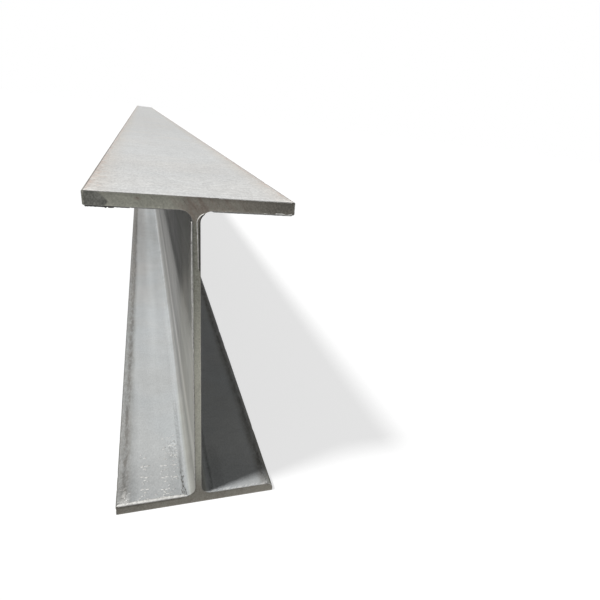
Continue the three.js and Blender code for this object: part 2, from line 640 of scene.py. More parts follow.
def saw_cut(finish):
    """Sawn end faces: dull olive steel, with the blade's arcs and browned places"""
    shader, place = new_material("saw_cut", 0.30, 0.3)
    x, y, z = split(place)
    oxide = use_group("oxide_grain", place, Grain=380.0, Mottle=60.0)
    mottle, grain = oxide["Mottle"] - 0.5, oxide["Grain"] - 0.5
    face = place * (1, 0, 1)
    radius = measured("DISTANCE", face, BLADE_CENTER)
    arcs = cloud(joined(radius, y * 0.01, z * 0.1), 330.0, 4.0, 0.62)
    dashes = cloud(joined(radius, y * 0.01, z * 0.3), 120.0, 4.0, 0.62)
    junction = ramp(measured("LENGTH", (face - TOP_BURN) * (0.8, 1.0, 1.0)), 0.06, 0.01)
    web = 1.0 - ramp(abs(x), 0.008, 0.018)
    paler = ramp(z, 0.02, 0.19) * ramp(z, 0.44, 0.3) * web
    on_top = ramp(z, DEPTH - 0.05, DEPTH - 0.03)
    torn, torn_color = torn_place(x, z, place, mottle, grain)

    # Browned from the middle of the top flange to its right tip, and along the bottom flange
    browned = total((
        (0.12, junction),
        (0.76, ramp(x, -0.045, -0.01), on_top),
        (0.16, paler),
        (0.72, ramp(z, 0.1, 0.02)),
        (0.9, mottle),
        (0.8, dashes - 0.5),
    ))
    steel = layered(blend(ramp(browned, 0.0, 1.0), finish.cut, finish.cut_brown), (
        (junction * ramp(dashes, 0.5, 0.6) * 0.42, (0.2, 0.15, 0.125)),
        (ridge(x, -0.08, 0.007) * ridge(z, DEPTH - 0.007, 0.0045) * 0.45, (0.24, 0.16, 0.13)),
        (torn * 0.92, torn_color),
    ))
    tone = total((
        (0.3, arcs - 0.5),
        (0.34, dashes - 0.5),
        (0.36, mottle),
        (0.95, grain),
        (-0.3, attribute(place, "scratch")),
        (0.12, junction),
        (-0.14, ramp(dashes, 0.58, 0.68), ramp(x, -0.03, 0.0)),
        # Web: its face, then painted light along its left edge, and darker along that edge higher up
        (-0.37, ramp(z, 0.3, 0.58), ramp(z, 0.556, 0.548), web),
        (-0.06, ramp(z, 0.12, 0.03), ramp(z, 0.02, 0.028), web),
        (0.35, paler),
        (0.45, ramp(z, 0.06, 0.14, 0.0, 0.2) + ridge(z, 0.265, 0.085), ramp(z, 0.36, 0.31),
         ridge(x, -0.0056, 0.0026)),
        (-0.4, ridge(x, -0.0058, 0.0016), ramp(z, 0.475, 0.505), ramp(z, 0.55, 0.542)),
        # Top flange, with painted light along its upper edge left of the web
        (0.16, ramp(z, DEPTH - 0.0045, DEPTH - 0.0008), ramp(x, 0.01, -0.005)),
        (-0.2, ramp(x, 0.05, 0.11), on_top),
        (-0.16, ramp(x, 0.092, 0.128), on_top),
        (-0.08, ridge(x, -0.055, 0.045), on_top),
        # Bottom flange, with grime and painted shade in a line under the left burr
        (-0.3, ridge(z, 0.0155, 0.003), ramp(x, -0.025, -0.035)),
        (-0.12, ramp(x, -0.085, -0.105), ramp(z, 0.03, 0.02)),
        (0.15, ramp(x, 0.03, 0.1), ramp(z, 0.03, 0.02)),
    ))
    rough = total(((0.25, oxide["Mottle"]), (0.1, torn))) + 0.4
    relief = total(((0.4, arcs), (0.5, oxide["Grain"]), (0.5, dashes), (0.4, oxide["Mottle"])))
    dress(shader, shaded(steel, tone), rough, relief, 0.6 * MM)


def bright_burr(finish):
    """Burrs and fresh marks: bright steel, down to near black where a burr has no shine: dull burrs, and
    painted shade under a lip
    """
    shader, place = new_material("bright_burr", 0.35, 0.4)
    oxide = use_group("oxide_grain", place, Grain=1500.0, Mottle=160.0)
    shine = attribute(place, "shine")
    blotch = ramp(oxide["Mottle"], 0.35, 0.62)
    # Near black for burrs with no shine: dull steel, and painted shade under a lip
    dull = blend(blotch, (0.03, 0.029, 0.026), (0.08, 0.078, 0.07))
    fresh = blend(blotch, Vector(finish.bright) * 0.72, finish.bright)
    rough = total(((0.3, oxide["Grain"]), (-0.12, shine))) + 0.42
    feed(shader.inputs["Metallic"], shine * 0.35)
    dress(shader, blend(shine, dull, fresh), rough, oxide["Grain"], 0.4 * MM, 0.7)


def dark_oxide(name, dark):
    """Dark rough oxide, on the scabs beside the root or down in the cracks between them"""
    shader, place = new_material(name, 0.0, 0.15)
    oxide = use_group("oxide_grain", place, Grain=1300.0, Mottle=210.0)
    dress(shader, shaded(dark, (oxide["Mottle"] - 0.5) * 0.9), 0.75, oxide["Grain"], 0.4 * MM, 0.8)


def make_materials(finish):
    if "mill_scale" in bpy.data.materials:
        return
    streaks_group()
    grain_group()
    rust_group()
    mill_scale(finish)
    saw_cut(finish)
    bright_burr(finish)
    dark_oxide("lap_oxide", finish.lap)
    dark_oxide("crack_oxide", finish.crack)


# ---------------------------------------------------------------- section


def arc(center, radius, start, turn, facets, outward):
    """Points of an arc in X and Z, both ends included, with their outward normals"""
    angles = start + turn * np.linspace(0.0, 1.0, facets + 1)
    spokes = np.stack([np.cos(angles), np.sin(angles)], axis=1)
    return np.asarray(center) + radius * spokes, outward * spokes


def straight(start, end, pieces, normal, close=0.0008):
    """Points inside a straight run: even ones, and one close to each end to keep the shading flat"""
    start, end = np.asarray(start, float), np.asarray(end, float)
    near = close / np.linalg.norm(end - start)
    steps = np.concatenate([[near], np.linspace(0.0, 1.0, pieces + 1)[1:-1], [1.0 - near]])[:, None]
    points = start * (1 - steps) + end * steps
    return points, np.tile(normal, (len(points), 1))


SEAM_FROM_ROOT = 0.0034      # middle of the lap seam, measured from the fillet
SEAM_HALF_WIDTH = 0.0023
SEAM_CLEAR = 0.0030          # the plain run on the tip's side ends this far from the seam's middle
ROOT_CLEAR = 0.0006          # the fillet's neighbour point lies this far from it
OUTLINE_SAMPLES = 12000
# Across the lap seam, towards the web: distance from its middle in mm, and share of its depth
SEAM_PROFILE = ((2.2, 0.0), (1.2, 0.25), (0.5, 0.8), (0.0, 1.0), (-0.5, 0.8), (-1.2, 0.25), (-2.2, 0.0))


def quadrant(section, toe_radius):
    """Upper right quarter, clockwise from the middle of the top face to the middle of the web

    Gives X and Z measured from the section's centre, outward normals, and how deep each point lies in the
    lap seam.
    """
    half_width, half_depth, half_web = WIDTH / 2, DEPTH / 2, section.web_thickness / 2
    inner = half_depth - section.flange_thickness
    root, crisp = section.root_radius, section.outer_toe_radius
    quarter = math.pi / 2
    seam_x = half_web + root + SEAM_FROM_ROOT
    seam_points = np.array([(seam_x + offset * MM, inner) for offset, _ in SEAM_PROFILE])
    runs = [
        straight((0, half_depth), (half_width - crisp, half_depth), 11, (0, 1)),
        arc((half_width - crisp, half_depth - crisp), crisp, quarter, -quarter, 4, 1),
        straight((half_width, half_depth - crisp), (half_width, inner + toe_radius), 3, (1, 0)),
        arc((half_width - toe_radius, inner + toe_radius), toe_radius, 0.0, -quarter, 6, 1),
        straight((half_width - toe_radius, inner), (seam_x + SEAM_CLEAR, inner), 10, (0, -1)),
        (seam_points, np.tile((0, -1), (len(seam_points), 1))),
        (np.array([(half_web + root + ROOT_CLEAR, inner)]), np.array([(0, -1)])),
        arc((half_web + root, inner - root), root, quarter, quarter, 12, -1),
        straight((half_web, inner - root), (half_web, 0.0), 7, (1, 0)),
    ]
    points = np.concatenate([run[0] for run in runs])
    normals = np.concatenate([run[1] for run in runs]).astype(float)
    seam = np.zeros(len(points))
    start = sum(len(run[0]) for run in runs[:5])
    seam[start:start + len(SEAM_PROFILE)] = [depth for _, depth in SEAM_PROFILE]
    return points[1:-1], normals[1:-1], seam[1:-1]


def section_loop(section):
    """The whole outline, clockwise seen from the near end: X and Z, outward normals and seam depth"""
    plain = quadrant(section, section.inner_toe_radius)
    full = quadrant(section, section.full_toe_radius)
    top = (np.array([[0, DEPTH / 2]]), np.array([[0.0, 1.0]]), np.zeros(1))
    side = (np.array([[section.web_thickness / 2, 0]]), np.array([[1.0, 0.0]]), np.zeros(1))

    def flipped(part, flip, step):
        points, normals, seam = part
        return (points * flip)[::step], (normals * flip)[::step], seam[::step]

    parts = [
        top, plain, side, flipped(full, (1, -1), -1), flipped(top, (1, -1), 1),
        flipped(plain, (-1, -1), 1), flipped(side, (-1, 1), 1), flipped(plain, (-1, 1), -1),
    ]
    points, normals, seam = (np.concatenate([part[i] for part in parts]) for i in range(3))
    return points + (0.0, DEPTH / 2), normals, seam


class Outline:
    """The section's outline, measured along its length from the middle of the top face, clockwise"""

    def __init__(self, section):
        points, normals, _ = section_loop(section)
        self.points = np.concatenate([points, points[:1]])
        self.normals = np.concatenate([normals, normals[:1]])
        steps = np.linalg.norm(np.diff(self.points, axis=0), axis=1)
        self.travel = np.concatenate([[0.0], np.cumsum(steps)])

    def at(self, places):
        """Points and outward normals at these distances"""
        around = np.asarray(places) % self.travel[-1]
        points = np.stack([np.interp(around, self.travel, self.points[:, i]) for i in range(2)], axis=1)
        facing = np.stack([np.interp(around, self.travel, self.normals[:, i]) for i in range(2)], axis=1)
        return points, facing / np.linalg.norm(facing, axis=1)[:, None]

    def place(self, x, z):
        """The distance at which the outline passes nearest to X, Z"""
        places = np.linspace(0.0, self.travel[-1], OUTLINE_SAMPLES)
        return places[np.argmin(np.linalg.norm(self.at(places)[0] - (x, z), axis=1))]

    def run(self, start, end, step=0.0012):
        """Points and normals from one X, Z to another, clockwise"""
        first, last = self.place(*start), self.place(*end)
        if last < first:
            last += self.travel[-1]
        return self.at(np.linspace(first, last, max(3, int((last - first) / step) + 1)))


# ---------------------------------------------------------------- geometry nodes


def set_attribute(mesh, name, kind, values):
    layer = mesh.attributes.new(name, kind, "POINT")
    field = "vector" if kind == "FLOAT_VECTOR" else "value"
    layer.data.foreach_set(field, np.asarray(values, dtype=float).ravel())


def new_tree(name, inputs):
    """A tree that turns a mesh into another, with its own inputs and those that every tree has"""
    inputs = {"Geometry": "Geometry", **inputs, "Seed": 0, "Material": "Material"}
    return new_group(name, "GeometryNodeTree", inputs, {"Geometry": "Geometry"})


BOX_CORNERS = {"Low Corner": ORIGIN, "High Corner": ORIGIN}


def position(tree):
    return out(tree, "GeometryNodeInputPosition")


def carried(tree, name, kind="FLOAT"):
    """A number or vector that the points carry"""
    return out(tree, "GeometryNodeInputNamedAttribute", {"Name": name}, data_type=kind)


def store(geometry, name, value, kind="FLOAT"):
    inputs = {"Geometry": geometry, "Name": name, "Value": value}
    return out(geometry.tree, "GeometryNodeStoreNamedAttribute", inputs, data_type=kind, domain="POINT")


def moved(geometry, **where):
    """Points set to a Position or shifted by an Offset"""
    return out(geometry.tree, "GeometryNodeSetPosition", {"Geometry": geometry, **where})


def inside_box(place, given):
    """A place, brought back inside the box of the part"""
    return maths("MINIMUM", maths("MAXIMUM", place, given["Low Corner"]), given["High Corner"])


def random_between(low, high, seed, kind="FLOAT"):
    """A random number or vector for each point"""
    first, result = {"FLOAT": (2, 1), "FLOAT_VECTOR": (0, 0)}[kind]
    inputs = {first: low, first + 1: high, "Seed": seed}
    return out(seed.tree, "FunctionNodeRandomValue", inputs, result, data_type=kind)


def stepped_curve(lines, step):
    """Curves along a mesh's lines, with points at an even step"""
    curve = out(lines.tree, "GeometryNodeMeshToCurve", {0: lines})
    return out(lines.tree, "GeometryNodeResampleCurve", {"Curve": curve, "Length": step}, mode="LENGTH")


def from_ends(tree):
    """0 at both ends of a curve, up to a quarter in its middle"""
    along = out(tree, "GeometryNodeSplineParameter", pick="Factor")
    return along * (1.0 - along)


def tube(curve, sides, scale):
    ring = out(curve.tree, "GeometryNodeCurvePrimitiveCircle", {"Resolution": sides, "Radius": 1.0})
    inputs = {"Curve": curve, "Profile Curve": ring, "Scale": scale, "Fill Caps": True}
    return out(curve.tree, "GeometryNodeCurveToMesh", inputs)


def finish_tree(result, geometry, material):
    """Ends a tree: real geometry, with its material"""
    real = out(geometry.tree, "GeometryNodeRealizeInstances", {0: geometry})
    smooth = out(geometry.tree, "GeometryNodeSetShadeSmooth", {0: real})
    inputs = {"Geometry": smooth, "Material": material}
    feed(result["Geometry"], out(geometry.tree, "GeometryNodeSetMaterial", inputs))


def evaluated_mesh(name, start_mesh, tree, material, **values):
    """Runs a tree on a mesh, with its inputs set by their names, and gives the plain mesh that comes out"""
    values["material"] = bpy.data.materials[material]
    values["low_corner"], values["high_corner"] = tuple(cad_low), tuple(cad_high)
    carrier = new_object(name, start_mesh)
    modifier = carrier.modifiers.new(name, "NODES")
    modifier.node_group = tree
    for item in tree.interface.items_tree:
        key = item.name.lower().replace(" ", "_")
        if item.in_out == "INPUT" and key in values:
            modifier[item.identifier] = values[key]
    graph = bpy.context.evaluated_depsgraph_get()
    mesh = bpy.data.meshes.new_from_object(carrier.evaluated_get(graph))
    carrier.modifiers.clear()
    bpy.data.objects.remove(carrier)
    mesh.name = name
    return mesh


def rolled_section_tree():
    """Sweeps the section along the beam and presses the rolls' unevenness, nicks and lap seams into it"""
    tree, given, result = new_tree("rolled_section", {
        "Near": -1.0, "Far": 1.0, "Rows": 101, "Half Width": 0.15, "Ripple": 0.0003, "Nick": 0.0012,
        "Seam": 0.0004,
    })
    # The path's stations crowd towards both ends
    line = out(tree, "GeometryNodeCurvePrimitiveLine", {"Start": (0, -1, 0), "End": (0, 1, 0)})
    inputs = {"Curve": line, "Count": given["Rows"]}
    path = out(tree, "GeometryNodeResampleCurve", inputs, mode="COUNT")
    run = split(position(tree))[1]
    rest = 1.0 - abs(run)
    signed = (1.0 - rest * rest) * maths("SIGN", run)
    station = ramp(signed, -1.0, 1.0, given["Near"], given["Far"], "LINEAR")
    path = moved(path, Position=joined(0.0, station, 0.0))
    outline = out(tree, "GeometryNodeMeshToCurve", {0: given["Geometry"]})
    swept = out(tree, "GeometryNodeCurveToMesh", {"Curve": path, "Profile Curve": outline})

    x, y, _ = split(position(tree))
    lot = given["Seed"] * 3.7
    seeded = position(tree) + joined(lot, lot, lot)
    near_end = ramp(abs(y), FAR - 1.1, FAR - 0.55)
    ripple = cloud(seeded * (0.35, 1, 0.35), 26.0, 2.0) * given["Ripple"]
    at_tip = ramp(given["Half Width"] - abs(x), 0.0035, 0.0012)
    nick = ramp(cloud(seeded * (1, 1, 1.6), 34.0, 3.0, 0.6), 0.56, 0.74) * at_tip * near_end
    breaks = ramp(cloud(seeded, 30.0, 3.0, 0.6), 0.34, 0.56)
    seam = carried(tree, "seam") * breaks * near_end
    depth = seam * given["Seam"] + (nick * given["Nick"] + ripple)
    pressed = carried(tree, "outward", "FLOAT_VECTOR") * (depth * -1.0)
    drift = cloud(joined(lot, y, maths("SIGN", x)), 16.0, 3.0, 0.6) * 0.004 - 0.002
    drift *= carried(tree, "drift") * near_end
    shaped = moved(store(swept, "nick", nick), Offset=pressed + joined(drift))
    finish_tree(result, shaped, given["Material"])
    return tree


def burr_tree():
    """Turns each marked stretch of a cut edge into a ragged burr"""
    inputs = {"Step": 0.0012, "Sides": 6, "Wave Length": 0.013}
    tree, given, result = new_tree("cut_burr", inputs | BOX_CORNERS)
    lot = given["Seed"] * 5.3
    seeded = position(tree) + joined(lot, lot, lot)
    outward = carried(tree, "outward", "FLOAT_VECTOR")
    swing = (cloud(seeded, 1.0 / given["Wave Length"], 1.0) * 2.0 - 1.0) * carried(tree, "wave")
    curve = moved(stepped_curve(given["Geometry"], given["Step"]), Offset=outward * swing)

    taper = ramp(from_ends(tree), 0.0, 0.03, 0.12, 1.0)
    crumbs = ramp(cloud(seeded, 430.0, 2.0, 0.6), 0.3, 0.68)
    lumps = ramp(cloud(seeded, 105.0, 2.0, 0.6), 0.34, 0.64)
    broken = lumps * 0.5 + (crumbs * 0.5 - 1.0)
    size = maths("MAXIMUM", taper * (carried(tree, "ragged") * broken + 1.0), 0.1)
    curve = store(store(curve, "core", position(tree), "FLOAT_VECTOR"), "size", size)

    # The tube's round section becomes as high and as wide as the stretch says
    core, size = carried(tree, "core", "FLOAT_VECTOR"), carried(tree, "size")
    spoke = (position(tree) - core) * (1.0 / MM)
    rise = measured("DOT_PRODUCT", spoke, outward) * (carried(tree, "height") * size)
    reach = split(spoke)[1] * (carried(tree, "reach") * size)
    place = core + outward * rise + joined(0.0, reach, 0.0)
    burr = moved(tube(curve, given["Sides"], MM), Position=inside_box(place, given))
    finish_tree(result, burr, given["Material"])
    return tree


CRACK_FLATNESS = 0.45    # height of a crack's lip beside its width


def crack_tree():
    """Turns each line into a thin wandering crack, flat on the surface and pointed at both ends"""
    tree, given, result = new_tree("lap_crack", {"Step": 0.0012, "Width": 0.0005, "Wander": 0.001})
    seeded = position(tree) + joined(given["Seed"], 0.0, given["Seed"])
    swing = (cloud(seeded, 150.0, 3.0, pick=1) - (0.5, 0.5, 0.5)) * (2.0, 2.0, 0.0)
    curve = moved(stepped_curve(given["Geometry"], given["Step"]), Offset=swing * given["Wander"])
    thick = ramp(from_ends(tree), 0.0, 0.06, 0.25, 1.0)
    uneven = ramp(cloud(seeded, 260.0, 2.0), 0.3, 0.65, 0.35, 1.2)
    crack = tube(curve, 5, thick * uneven * given["Width"])
    x, y, z = split(position(tree))
    flat = (z - FLANGE_TOP) * CRACK_FLATNESS + FLANGE_TOP
    finish_tree(result, moved(crack, Position=joined(x, y, flat)), given["Material"])
    return tree


STREW_INPUTS = {"Turn": 0.2, "Lean": 0.0, "Shine": 1.0, "Roughen": ORIGIN, "Roundness": 1, **BOX_CORNERS}


def strew(points, given, result):
    """Puts a small flat flake on each point, turned and sized at random"""
    tree, seed = points.tree, given["Seed"]
    inputs = {"Radius": 1.0, "Subdivisions": given["Roundness"]}
    flake = out(tree, "GeometryNodeMeshIcoSphere", inputs)
    size = random_between((0.6, 0.6, 0.7), (1.3, 1.4, 1.2), seed, "FLOAT_VECTOR")
    size *= carried(tree, "flake", "FLOAT_VECTOR")
    turn = random_between(given["Turn"] * -1.0, given["Turn"], seed + 1.0) + given["Lean"]
    inputs = {"Points": points, "Instance": flake, "Rotation": joined(0.0, 0.0, turn), "Scale": size}
    placed = out(tree, "GeometryNodeInstanceOnPoints", inputs)
    real = out(tree, "GeometryNodeRealizeInstances", {0: placed})
    spot = position(tree)
    rough = (cloud(spot, 900.0, 1.0, pick=1) - (0.5, 0.5, 0.5)) * given["Roughen"]
    real = moved(real, Position=inside_box(spot + rough, given))
    finish_tree(result, store(real, "shine", given["Shine"]), given["Material"])


def mark_rows_tree():
    """Sets marks along each line at an even spacing, each a little out of place"""
    inputs = {"Spacing": 0.033, "Jitter": ORIGIN}
    tree, given, result = new_tree("mark_rows", inputs | STREW_INPUTS)
    jitter = given["Jitter"]
    away = random_between(jitter * -1.0, jitter, given["Seed"] + 2.0, "FLOAT_VECTOR")
    strew(moved(stepped_curve(given["Geometry"], given["Spacing"]), Offset=away), given, result)
    return tree


def mark_patch_tree():
    """Scatters marks over patches of a surface, more thickly where the patch says"""
    inputs = {"Spacing": 0.0015, "Density": 60000.0}
    tree, given, result = new_tree("mark_patches", inputs | STREW_INPUTS)
    inputs = {
        "Mesh": given["Geometry"], "Distance Min": given["Spacing"], "Density Max": given["Density"],
        "Density Factor": carried(tree, "thick"), "Seed": given["Seed"],
    }
    points = out(tree, "GeometryNodeDistributePointsOnFaces", inputs, distribute_method="POISSON")
    strew(points, given, result)
    return tree


# ---------------------------------------------------------------- pieces


def new_object(name, mesh):
    obj = bpy.data.objects.new(name, mesh)
    bpy.context.scene.collection.objects.link(obj)
    return obj


def line_mesh(name, spots, links):
    mesh = bpy.data.meshes.new(name)
    mesh.from_pydata(spots, links, [])
    return mesh


def finish_piece(obj):
    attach(obj, BODY)


def make_piece(name, source, tree, material, **values):
    """Makes a piece by running a tree on a mesh"""
    finish_piece(new_object(name, evaluated_mesh(name, source, tree, material, **values)))


def inside_outline(points, outline):
    """Which points lie inside a closed outline, by counting crossings"""
    inside = np.zeros(len(points), bool)
    x, z = points[:, 0], points[:, 1]
    for (ax, az), (bx, bz) in zip(outline, np.roll(outline, -1, axis=0)):
        if az == bz:
            continue
        spans = (az > z) != (bz > z)
        crossing = ax + (z - az) * (bx - ax) / (bz - az)
        inside ^= spans & (x < crossing)
    return inside


def distance_to_outline(points, outline):
    """Distance from each point to the nearest side of a closed outline"""
    best = np.full(len(points), 1.0)
    for start, end in zip(outline, np.roll(outline, -1, axis=0)):
        run = end - start
        share = np.clip((points - start) @ run / (run @ run), 0.0, 1.0)
        best = np.minimum(best, np.linalg.norm(points - start - share[:, None] * run, axis=1))
    return best


class Scratch:
    """A straight groove in a sawn face: X and Z of both ends, its depth and its width, all in mm"""

    def __init__(self, x0, z0, x1, z1, depth, width=0.9):
        self.start, self.end = np.array([x0, z0]) * MM, np.array([x1, z1]) * MM
        self.depth, self.width = depth * MM, width * MM

    def points(self):
        """Points along its middle, how strong it is at each, and points on both flanks"""
        run = self.end - self.start
        size = np.linalg.norm(run)
        across = np.array([-run[1], run[0]]) / size * self.width / 2
        steps = np.linspace(0.0, 1.0, max(3, int(size / (1.6 * MM)) + 1))
        middle = self.start + steps[:, None] * run
        strength = np.minimum(1.0, 3.0 * (1.0 - np.abs(2 * steps - 1)) + 0.15)
        return middle, strength, np.concatenate([middle + across, middle - across])


NEAR_SCRATCHES = (
    Scratch(-82.5, 583.2, -76.5, 579.0, 0.25, 1.3),
    Scratch(-64.0, 586.0, -58.5, 580.6, 0.40, 1.3),
    Scratch(-19.0, 583.0, -12.5, 574.5, 0.20, 1.4),
    Scratch(-6.0, 579.0, 1.0, 569.0, 0.20, 1.2),
    Scratch(10.0, 580.0, 13.5, 572.5, 0.20),
    Scratch(30.5, 582.0, 34.5, 573.5, 0.30, 1.4),
    Scratch(-2.0, 542.0, 1.2, 529.0, 0.30, 1.3),
    Scratch(-1.0, 315.0, 1.2, 302.0, 0.20),
    Scratch(40.5, 16.0, 45.0, 9.0, 0.20),
)


def far_scratches(chance):
    """Short scratches across the top flange of the far cut"""
    marks = []
    for middle in (-110, -52, -12, 34, 83, 124):
        x = middle + chance.uniform(-12, 12)
        z = DEPTH / MM - 10 + chance.uniform(-2, 2)
        lean = chance.uniform(0.3, 1.0)
        marks.append(Scratch(x, z + 4.5, x + 7.5 * lean, z - 4.5, chance.uniform(0.15, 0.35)))
    return marks


def run_out_patch(x, z):
    """1 where the blade ran out at the top flange's left tip and tore, else 0, with a leaning border"""
    border = -0.1185 - 1.05 * max(0.0, z - DEPTH + 0.0125) + 0.7 * min(0.0, z - DEPTH + 0.0140)
    inside = np.clip((border - x) / 0.006 + 0.5, 0.0, 1.0)
    strip = np.clip((x + 0.1478) / 0.0012, 0.0, 1.0)
    return float(inside * strip * (z > DEPTH - 0.021))


OUT_OF_PLACE = 0.22      # how far a point of a cut face may stray, in steps
CLEAR_OF_EDGE = 0.45     # how far it stays from the edge, in steps
SAW_WAVES = 60.0         # unevenness of a cut face, in waves per metre


def cut_grid(outline, step, chance):
    """Points inside a cut face, in staggered rows, each a little out of place"""
    columns = np.arange(-WIDTH / 2, WIDTH / 2, step)
    levels = np.arange(0.0, DEPTH, step)
    grid = np.array([(x + (row % 2) * step / 2, z) for row, z in enumerate(levels) for x in columns])
    grid += chance.uniform(-OUT_OF_PLACE, OUT_OF_PLACE, grid.shape) * step
    grid = grid[inside_outline(grid, outline)]
    return grid[distance_to_outline(grid, outline) > CLEAR_OF_EDGE * step]


def with_scratches(grid, scratches):
    """All points of a cut face, and how strong and how deep a scratch is at each"""
    middles, flanks, grooves = [], [], []
    for scratch in scratches:
        middle, strength, flank = scratch.points()
        gaps = np.linalg.norm(grid[:, None] - middle[None], axis=2)
        grid = grid[np.min(gaps, axis=1) > 1.3 * scratch.width]
        middles.append(middle)
        flanks.append(flank)
        grooves.append(np.stack([strength, strength * scratch.depth], axis=1))
    grooves = np.concatenate(grooves)
    points = np.concatenate([*middles, *flanks, grid])
    return points, np.concatenate([grooves, np.zeros((len(points) - len(grooves), 2))])


def close_end(shell, loop, y_end, inward, relief, scratches, chance, patched):
    """Closes one end with a sawn face: a fine net of points with the saw's relief and its scratches"""
    outline = np.array([(shell.verts[i].co.x, shell.verts[i].co.z) for i in loop])
    inner_points, groove = with_scratches(cut_grid(outline, relief.cut_grain, chance), scratches)
    count = len(outline)
    coords = [Vector(point) for point in np.concatenate([outline, inner_points])]
    sides = [(i, (i + 1) % count) for i in range(count)]
    placed, _, triangles, origins, _, _ = delaunay_2d_cdt(coords, sides, [], 1, 1e-7)
    scratch_layer = shell.verts.layers.float["scratch"]
    patch_layer = shell.verts.layers.float["patch"]
    made = []
    for (x, z), origin in zip(placed, origins):
        first = origin[0]
        if first < count:
            vert = shell.verts[loop[first]]
        else:
            strength, depth = groove[first - count]
            spot = Vector((x * SAW_WAVES, y_end, z * SAW_WAVES))
            wave = 0.25 * MM * noise.noise(spot) + 0.12 * MM * noise.noise(spot * 6)
            vert = shell.verts.new((x, y_end + inward * (relief.recess + wave + depth), z))
            vert[scratch_layer] = strength
        vert[patch_layer] = run_out_patch(x, z) if patched else 0.0
        made.append(vert)
    for triangle in triangles:
        face = shell.faces.new([made[i] for i in triangle])
        face.material_index = 1
        face.normal_update()
        if face.normal.y * inward > 0:
            face.normal_flip()


def section_mesh(section):
    """The outline as a flat mesh, with what the sweep needs at each of its points"""
    points, normals, seam = section_loop(section)
    count = len(points)
    flat = np.zeros(count)
    corners = np.stack([points[:, 0], -points[:, 1], flat], axis=1)
    mesh = line_mesh("section_outline", corners.tolist(), [(i, (i + 1) % count) for i in range(count)])
    root_x = section.web_thickness / 2 + section.root_radius
    beside = np.abs(np.abs(points[:, 0]) - root_x - SEAM_FROM_ROOT) < SEAM_HALF_WIDTH
    inner_face = np.abs(normals[:, 1]) > 0.99
    inner_face &= np.abs(points[:, 1] - DEPTH / 2) < DEPTH / 2 - section.flange_thickness / 2
    outward = np.stack([normals[:, 0], flat, normals[:, 1]], axis=1)
    set_attribute(mesh, "outward", "FLOAT_VECTOR", outward)
    set_attribute(mesh, "seam", "FLOAT", seam)
    set_attribute(mesh, "up", "FLOAT", normals[:, 1])
    set_attribute(mesh, "drift", "FLOAT", beside & inner_face)
    return mesh


SKIN_SHORT = 0.3 * MM    # how much shorter than the box the rolled skin is, at either end
SHARP_ANGLE = math.radians(40)


class HBEAM_OT_rolled_beam(bpy.types.Operator):
    """Make the beam itself: the swept section, closed by its two sawn faces"""

    bl_idname = "hbeam.rolled_beam"
    bl_label = "Rolled Beam"

    def execute(self, context):
        scene = context.scene
        make_materials(scene.hbeam_finish)
        relief = scene.hbeam_relief
        outline = section_mesh(scene.hbeam_section)
        count = len(outline.vertices)
        mesh = evaluated_mesh(
            "rolled_beam", outline, rolled_section_tree(), "mill_scale", near=NEAR + SKIN_SHORT,
            far=FAR - SKIN_SHORT, rows=relief.rows, half_width=WIDTH / 2, ripple=relief.ripple,
            nick=relief.nick, seam=relief.seam, seed=relief.seed,
        )
        mesh.materials.append(bpy.data.materials["saw_cut"])
        if len(mesh.vertices) != count * relief.rows:
            raise RuntimeError("the sweep did not give one ring of points for each row")

        shell = bmesh.new()
        shell.from_mesh(mesh)
        shell.verts.layers.float.new("scratch")
        shell.verts.layers.float.new("patch")
        shell.verts.ensure_lookup_table()
        chance = np.random.default_rng(relief.seed)
        last = len(shell.verts)
        close_end(shell, range(count), NEAR, 1.0, relief, NEAR_SCRATCHES, chance, True)
        shell.verts.ensure_lookup_table()
        close_end(shell, range(last - count, last), FAR, -1.0, relief, far_scratches(chance), chance, False)
        shell.to_mesh(mesh)
        shell.free()
        mesh.set_sharp_from_angle(angle=SHARP_ANGLE)
        beam = new_object("rolled_beam", mesh)
        finish_piece(beam)
        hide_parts(NODE)
        return {"FINISHED"}


